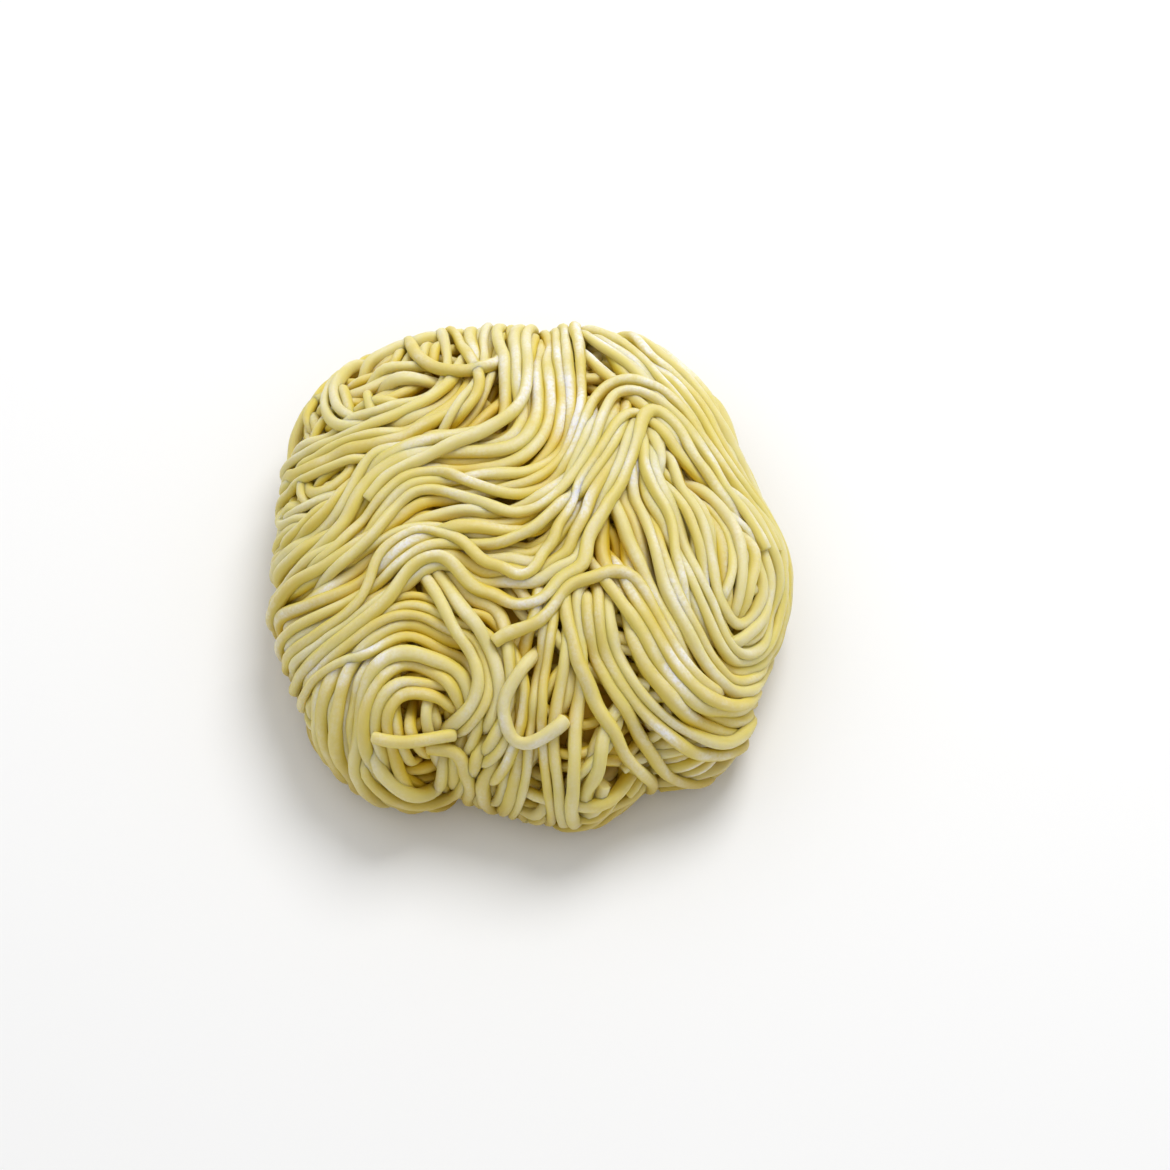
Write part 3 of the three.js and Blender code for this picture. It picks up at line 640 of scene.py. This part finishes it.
# One joined mesh of many noodles, with what its dough needs to know of each as attributes
def noodleMesh(name, noodles, draw, sides=section["sides"]):
    around = np.arange(sides) * 2 * math.pi / sides
    square = (np.abs(np.cos(around)) ** section["squareness"]
              + np.abs(np.sin(around)) ** section["squareness"]) ** (-1 / section["squareness"])
    square = square / square.mean() * (1 + section["flatness"] * np.cos(2 * around))
    verts, faces, caps, tone, depth, ridge, flour = [], [], [], [], [], [], []
    start = 0
    for noodle in noodles:
        path = noodle["points"]
        along = np.gradient(path, axis=0)
        along /= np.linalg.norm(along, axis=1, keepdims=True)
        tip = section["tip"] * noodle["radius"]
        path = np.concatenate([[path[0] - along[0] * tip], path, [path[-1] + along[-1] * tip]])
        fill = np.r_[0, np.arange(len(along)), len(along) - 1]
        along, outward, heights = along[fill], noodle["outward"][fill], noodle["heights"][fill]
        spots = noodle["spots"][fill]
        count = len(path)
        sideways = np.cross(along, outward)
        sideways /= np.linalg.norm(sideways, axis=1, keepdims=True)
        upward = np.cross(sideways, along)
        run = np.arange(count) * lay["step"]
        twist = section["twist"] * waveAlong(run, section["twistLength"], draw) + draw(0, 6.3)
        swell = 1 + section["swell"] * waveAlong(run, section["swellLength"], draw)
        swell += section["dent"] * waveAlong(run, section["dentLength"], draw)
        swell[[0, -1]] *= 1 - section["tip"] * 0.8
        angle = around[None] + twist[:, None]
        reach = noodle["radius"] * swell[:, None] * square[None]
        ring = (path[:, None] + sideways[:, None] * (reach * np.cos(angle))[..., None]
                + upward[:, None] * (reach * np.sin(angle))[..., None])
        verts.append(ring.reshape(-1, 3))
        rows = np.arange(count - 1)[:, None] * sides + np.arange(sides)[None]
        nextRows = np.arange(count - 1)[:, None] * sides + (np.arange(sides)[None] + 1) % sides
        quads = np.stack([rows, nextRows, nextRows + sides, rows + sides], -1).reshape(-1, 4) + start
        faces.extend(quads.tolist())
        caps.append([start + k for k in range(sides - 1, -1, -1)])
        caps.append([start + (count - 1) * sides + k for k in range(sides)])
        tone.append(np.full(count * sides, draw()))
        # Painted shade follows depth: on the mound the colour darkens down into the pile, and on the table
        # it darkens upwards, towards the nest
        faceOut = -1 if noodle["onTable"] else 1
        depth.append(faceOut * (heights[:, None] + reach * np.sin(angle)).reshape(-1))
        ridge.append(faceOut * np.sin(angle).reshape(-1))
        lean = flouring["lean"] * waveAlong(run, flouring["leanLength"], draw)
        streak = 1 - flouring["patchy"] + flouring["patchy"] * waveAlong(run, flouring["patchLength"], draw)
        top = faceOut * np.sin(angle + lean[:, None])
        top = np.clip((top - flouring["ridge"]) / (1 - flouring["ridge"]), 0, 1)
        nearSkin = np.clip((heights + flouring["deepest"]) / flouring["fade"], 0, 1)
        dusted = flourAt(spots) * streak * (1 if noodle["onTable"] else nearSkin)
        flour.append((dusted[:, None] * top ** 2 * (3 - 2 * top)).reshape(-1))
        start += count * sides
    verts = np.concatenate(verts)
    verts[:, 2] = np.maximum(verts[:, 2], 0.0)
    mesh = bpy.data.meshes.new(name)
    mesh.from_pydata((verts * mm).tolist(), [], faces + caps)
    for key, values in (("tone", tone), ("depth", depth), ("ridge", ridge), ("flour", flour)):
        layer = mesh.attributes.new(key, "FLOAT", "POINT")
        layer.data.foreach_set("value", np.concatenate(values).astype(np.float32))
    smooth = np.ones(len(mesh.polygons), bool)
    smooth[len(faces):] = False  # cut ends stay flat
    mesh.polygons.foreach_set("use_smooth", smooth)
    mesh.update()
    piece = bpy.data.objects.new(name, mesh)
    bpy.context.collection.objects.link(piece)
    print(name, "made of", len(noodles), "noodles,", sum(len(f) - 2 for f in faces + caps), "triangles")
    return piece


shapeDraw = Draw(section["seed"])
baseNoodles = noodleMesh("noodles_base", bottom, shapeDraw)
lowerNoodles = noodleMesh("noodles_lower", laid[:lowerCount], shapeDraw, section["lowerSides"])
middleNoodles = noodleMesh("noodles_middle", laid[lowerCount:middleCount], shapeDraw)
upperNoodles = noodleMesh("noodles_upper", laid[middleCount:], shapeDraw)


# Colours are sRGB hex values, and Blender wants them linear
def linear(hexColour):
    parts = [int(hexColour[i:i + 2], 16) / 255 for i in (1, 3, 5)]
    return tuple(c / 12.92 if c <= 0.04045 else ((c + 0.055) / 1.055) ** 2.4 for c in parts) + (1.0,)


def addNode(tree, kind, settings=None, links=None):
    node = tree.nodes.new(kind)
    for key, value in (settings or {}).items():
        if isinstance(key, int) or key in node.inputs.keys():
            node.inputs[key].default_value = value
        else:
            setattr(node, key, value)
    for key, source in (links or {}).items():
        tree.links.new(source, node.inputs[key])
    return node


def newMaterial(name):
    material = bpy.data.materials.new(name)
    material.use_nodes = True
    material.node_tree.nodes.clear()
    return material, material.node_tree


def setRamp(node, stops):
    ramp = node.color_ramp
    while len(ramp.elements) < len(stops):
        ramp.elements.new(0.5)
    for element, (place, colour) in zip(ramp.elements, stops):
        element.position = place
        element.color = linear(colour)


# Raw wheat dough: matt and slightly see-through, so light goes a little way in. The golden of the gaps
# between the noodles is partly that and partly painted shade, and the ridges are whitened by loose flour
# and by a painted highlight.
dough = {
    "deepest": -6.0,  # mm under the skin where the painted shade is darkest
    "shallowest": 1.4,
    "shadeColours": [(0.0, "#d8ae16"), (0.35, "#dbb81e"), (0.6, "#dcbf2e"), (0.76, "#dcc340"),
                (0.9, "#dbc856"), (1.0, "#dacb6c")],  # painted shade, golden in the gaps to pale at the skin
    "dryAndLit": "#dccf92",  # the top face of each noodle, paler: partly dried and floury, partly a painted highlight
    "warm": "#f3e27c",  # tint of the yellower noodles
    "pale": "#dcd5ac",
    "flour": "#ebe8e2",
    "dryAndLitShare": 0.4,
    "warmShare": 0.55,
    "paleShare": 0.5,
    "blotch": 9.0,  # mm
    "flourPatch": 5.0,
    "flourGrain": 0.7,  # coarser than real flour, so that it shows
    "grain": 0.45,
    "bump": 0.00012,  # metres
    "damp": 0.52,  # roughness of bare dough
    "dusty": 0.9,  # and under flour
    "seep": 0.0018,  # metres that light goes in
    "seepColours": (1.0, 0.9, 0.3),  # red goes in furthest and blue least
    "seepShare": 0.65,
    "lowShade": "#dccf9e",  # painted shade: tint that darkens the sides near the table
    "lowShadeFrom": 0.003,  # metres over the table
    "lowShadeUpTo": 0.019,
}


def doughMaterial():
    material, tree = newMaterial("raw_wheat_dough")
    coords = addNode(tree, "ShaderNodeTexCoord").outputs["Object"]
    tone = addNode(tree, "ShaderNodeAttribute", {"attribute_name": "tone"}).outputs["Fac"]
    depth = addNode(tree, "ShaderNodeAttribute", {"attribute_name": "depth"}).outputs["Fac"]
    ridge = addNode(tree, "ShaderNodeAttribute", {"attribute_name": "ridge"}).outputs["Fac"]
    flour = addNode(tree, "ShaderNodeAttribute", {"attribute_name": "flour"}).outputs["Fac"]
    # Painted shade: the dough is more golden and darker the deeper it lies under the skin, so also on each
    # noodle's underside
    share = addNode(tree, "ShaderNodeMapRange",
                    {"From Min": dough["deepest"], "From Max": dough["shallowest"]}, {"Value": depth})
    ramp = addNode(tree, "ShaderNodeValToRGB", None, {"Fac": share.outputs["Result"]})
    setRamp(ramp, dough["shadeColours"])
    blotch = addNode(tree, "ShaderNodeTexNoise", {"Scale": 1000 / dough["blotch"], "Detail": 3.0},
                     {"Vector": coords})
    unevenness = addNode(tree, "ShaderNodeMath", {"operation": "ADD"},
                         {0: tone, 1: blotch.outputs["Fac"]})
    warmShare = addNode(tree, "ShaderNodeMapRange",
                        {"From Min": 0.2, "From Max": 1.1, "To Min": dough["warmShare"], "To Max": 0.0},
                        {"Value": unevenness.outputs["Value"]})
    # Painted highlight, partly real drying: the top face of each noodle is paler, less so deeper in
    dryAndLitShare = addNode(tree, "ShaderNodeMapRange",
                       {"From Min": 0.55, "From Max": 1.0, "To Min": 0.0, "To Max": dough["dryAndLitShare"],
                        "interpolation_type": "SMOOTHSTEP"}, {"Value": ridge})
    outer = addNode(tree, "ShaderNodeMath", {"operation": "MULTIPLY"},
                    {0: dryAndLitShare.outputs["Result"], 1: share.outputs["Result"]})
    dryAndLit = addNode(tree, "ShaderNodeMix", {"data_type": "RGBA", 7: linear(dough["dryAndLit"])},
                  {0: outer.outputs["Value"], 6: ramp.outputs["Color"]})
    warm = addNode(tree, "ShaderNodeMix",
                   {"data_type": "RGBA", "blend_type": "MULTIPLY", 7: linear(dough["warm"])},
                   {0: warmShare.outputs["Result"], 6: dryAndLit.outputs[2]})
    paleShare = addNode(tree, "ShaderNodeMapRange",
                        {"From Min": 1.0, "From Max": 1.6, "To Min": 0.0, "To Max": dough["paleShare"]},
                        {"Value": unevenness.outputs["Value"]})
    pale = addNode(tree, "ShaderNodeMix", {"data_type": "RGBA", 7: linear(dough["pale"])},
                   {0: paleShare.outputs["Result"], 6: warm.outputs[2]})
    patch = addNode(tree, "ShaderNodeTexNoise", {"Scale": 1000 / dough["flourPatch"], "Detail": 2.0},
                    {"Vector": coords})
    grain = addNode(tree, "ShaderNodeTexNoise", {"Scale": 1000 / dough["flourGrain"], "Detail": 2.0},
                    {"Vector": coords})
    uneven = addNode(tree, "ShaderNodeMapRange", {"From Min": 0.3, "From Max": 0.6, "To Min": 0.25},
                     {"Value": patch.outputs["Fac"]})
    patched = addNode(tree, "ShaderNodeMath", {"operation": "MULTIPLY"},
                      {0: flour, 1: uneven.outputs["Result"]})
    grainy = addNode(tree, "ShaderNodeMapRange",
                     {"From Min": 0.35, "From Max": 0.62, "To Min": 0.55, "To Max": 1.0},
                     {"Value": grain.outputs["Fac"]})
    flourShare = addNode(tree, "ShaderNodeMath", {"operation": "MULTIPLY", "use_clamp": True},
                         {0: patched.outputs["Value"], 1: grainy.outputs["Result"]})
    floury = addNode(tree, "ShaderNodeMix", {"data_type": "RGBA", 7: linear(dough["flour"])},
                     {0: flourShare.outputs["Value"], 6: pale.outputs[2]})
    height = addNode(tree, "ShaderNodeSeparateXYZ", None, {"Vector": coords})
    # Painted shade: darker towards the table, where the sides face down
    lowShadeShare = addNode(tree, "ShaderNodeMapRange",
                         {"From Min": dough["lowShadeFrom"], "From Max": dough["lowShadeUpTo"],
                          "To Min": 1.0, "To Max": 0.0,
                          "interpolation_type": "SMOOTHSTEP"}, {"Value": height.outputs["Z"]})
    colour = addNode(tree, "ShaderNodeMix",
                     {"data_type": "RGBA", "blend_type": "MULTIPLY", 7: linear(dough["lowShade"])},
                     {0: lowShadeShare.outputs["Result"], 6: floury.outputs[2]})
    rough = addNode(tree, "ShaderNodeMapRange", {"To Min": dough["damp"], "To Max": dough["dusty"]},
                    {"Value": flourShare.outputs["Value"]})
    fine = addNode(tree, "ShaderNodeTexNoise", {"Scale": 1000 / dough["grain"], "Detail": 3.0},
                   {"Vector": coords})
    bump = addNode(tree, "ShaderNodeBump", {"Strength": 0.25, "Distance": dough["bump"]},
                   {"Height": fine.outputs["Fac"]})
    shader = addNode(tree, "ShaderNodeBsdfPrincipled",
                     {"IOR": 1.45, "Subsurface Weight": dough["seepShare"],
                      "Subsurface Radius": dough["seepColours"], "Subsurface Scale": dough["seep"]},
                     {"Base Color": colour.outputs[2], "Roughness": rough.outputs["Result"],
                      "Normal": bump.outputs["Normal"]})
    addNode(tree, "ShaderNodeOutputMaterial", None, {"Surface": shader.outputs["BSDF"]})
    return material


core = {
    "depth": 5.4,  # under the skin
    "floor": 2.6,  # its underside over the table
    "segments": 96,
    "rings": 48,
    "skinShare": 0.7,  # share of the rings that follow the skin
    # painted shade of the gaps, varied by noise
    "shadeColours": [(0.3, "#d0a21a"), (0.7, "#deb42a")],
    "roughness": 0.8,
}


# The same dough pressed together in the middle, which shows as the dark of the gaps and between the noodles
# of the underside. Its golden colour is painted shade, like that of the deepest noodles.
def coreMaterial():
    material, tree = newMaterial("packed_dough")
    coords = addNode(tree, "ShaderNodeTexCoord").outputs["Object"]
    blotch = addNode(tree, "ShaderNodeTexNoise", {"Scale": 1000 / dough["blotch"]}, {"Vector": coords})
    ramp = addNode(tree, "ShaderNodeValToRGB", None, {"Fac": blotch.outputs["Fac"]})
    setRamp(ramp, core["shadeColours"])
    shader = addNode(tree, "ShaderNodeBsdfPrincipled", {"Roughness": core["roughness"]},
                     {"Base Color": ramp.outputs["Color"]})
    addNode(tree, "ShaderNodeOutputMaterial", None, {"Surface": shader.outputs["BSDF"]})
    return material


# A sphere drawn in to the mound's skin, a little under it
def makeCore():
    bpy.ops.object.select_all(action="DESELECT")
    bpy.ops.mesh.primitive_uv_sphere_add(segments=core["segments"], ring_count=core["rings"], radius=1)
    piece = bpy.context.object
    piece.name = "noodle_core"
    mesh = piece.data
    for vertex in mesh.vertices:
        direction = vertex.co.normalized()
        angle = math.atan2(direction.y, direction.x)
        share = math.acos(max(-1, min(1, direction.z))) / math.pi
        length = min(share / core["skinShare"], 1) * skinReach
        skin, outward = onSkin(np.array([[length * math.cos(angle), length * math.sin(angle)]]))
        place = skin[0] - outward[0] * core["depth"]
        if share > core["skinShare"]:
            place *= 1 - (share - core["skinShare"]) / (1 - core["skinShare"])
        vertex.co = Vector((place[0] * mm, place[1] * mm, max(place[2], core["floor"]) * mm))
    bpy.ops.object.shade_smooth()
    return piece


nestCore = makeCore()
noodleDough = doughMaterial()
for piece in (baseNoodles, lowerNoodles, middleNoodles, upperNoodles):
    piece.data.materials.append(noodleDough)
nestCore.data.materials.clear()
nestCore.data.materials.append(coreMaterial())
for piece in (baseNoodles, lowerNoodles, middleNoodles, upperNoodles, nestCore):
    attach(piece, "root")
    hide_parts("noodle_nest")
print("pieces made")

# Floor, light and camera, in metres
studio = {
    "floorSize": 3,
    "floorColour": "#f4f4f4",
    "surround": 0.6,
    "lampAim": (0, 0, 0.01),
    "lamps": {
        "key": {"place": (0.25, 0.45, 0.8), "size": 0.5, "power": 5.2},
        "fill": {"place": (-0.45, 0.35, 0.75), "size": 0.8, "power": 0.75},
    },
    "elevation": 62.0,
    "distance": 0.605,
    "target": (0.0127, -0.0035, 0.014),
    "lens": 90.0,
    "sensor": 36,
}

bpy.ops.object.select_all(action="DESELECT")
bpy.ops.mesh.primitive_plane_add(size=studio["floorSize"])
floor = bpy.context.object
floor.name = "floor"
floorMaterial, tree = newMaterial("white_paper")
shader = addNode(tree, "ShaderNodeBsdfPrincipled",
                 {"Base Color": linear(studio["floorColour"]), "Roughness": 0.9})
addNode(tree, "ShaderNodeOutputMaterial", None, {"Surface": shader.outputs["BSDF"]})
floor.data.materials.append(floorMaterial)

world = bpy.data.worlds.new("studio")
bpy.context.scene.world = world
world.use_nodes = True
world.node_tree.nodes["Background"].inputs["Color"].default_value = (1, 1, 1, 1)
world.node_tree.nodes["Background"].inputs["Strength"].default_value = studio["surround"]

for name, lamp in studio["lamps"].items():
    data = bpy.data.lights.new(name, "AREA")
    data.shape = "DISK"
    data.size = lamp["size"]
    data.energy = lamp["power"]
    light = bpy.data.objects.new(name, data)
    light.location = lamp["place"]
    aim = Vector(studio["lampAim"]) - Vector(lamp["place"])
    light.rotation_euler = aim.to_track_quat("-Z", "Y").to_euler()
    bpy.context.collection.objects.link(light)

camera = bpy.data.objects.new("camera", bpy.data.cameras.new("camera"))
camera.data.lens = studio["lens"]
camera.data.sensor_width = studio["sensor"]
tilt = math.radians(studio["elevation"])
back = Vector((0, -math.cos(tilt), math.sin(tilt)))
camera.location = Vector(studio["target"]) + back * studio["distance"]
camera.rotation_euler = (-back).to_track_quat("-Z", "Y").to_euler()
bpy.context.collection.objects.link(camera)
bpy.context.scene.camera = camera
bpy.context.scene.view_settings.view_transform = "Standard"
print("stage set")
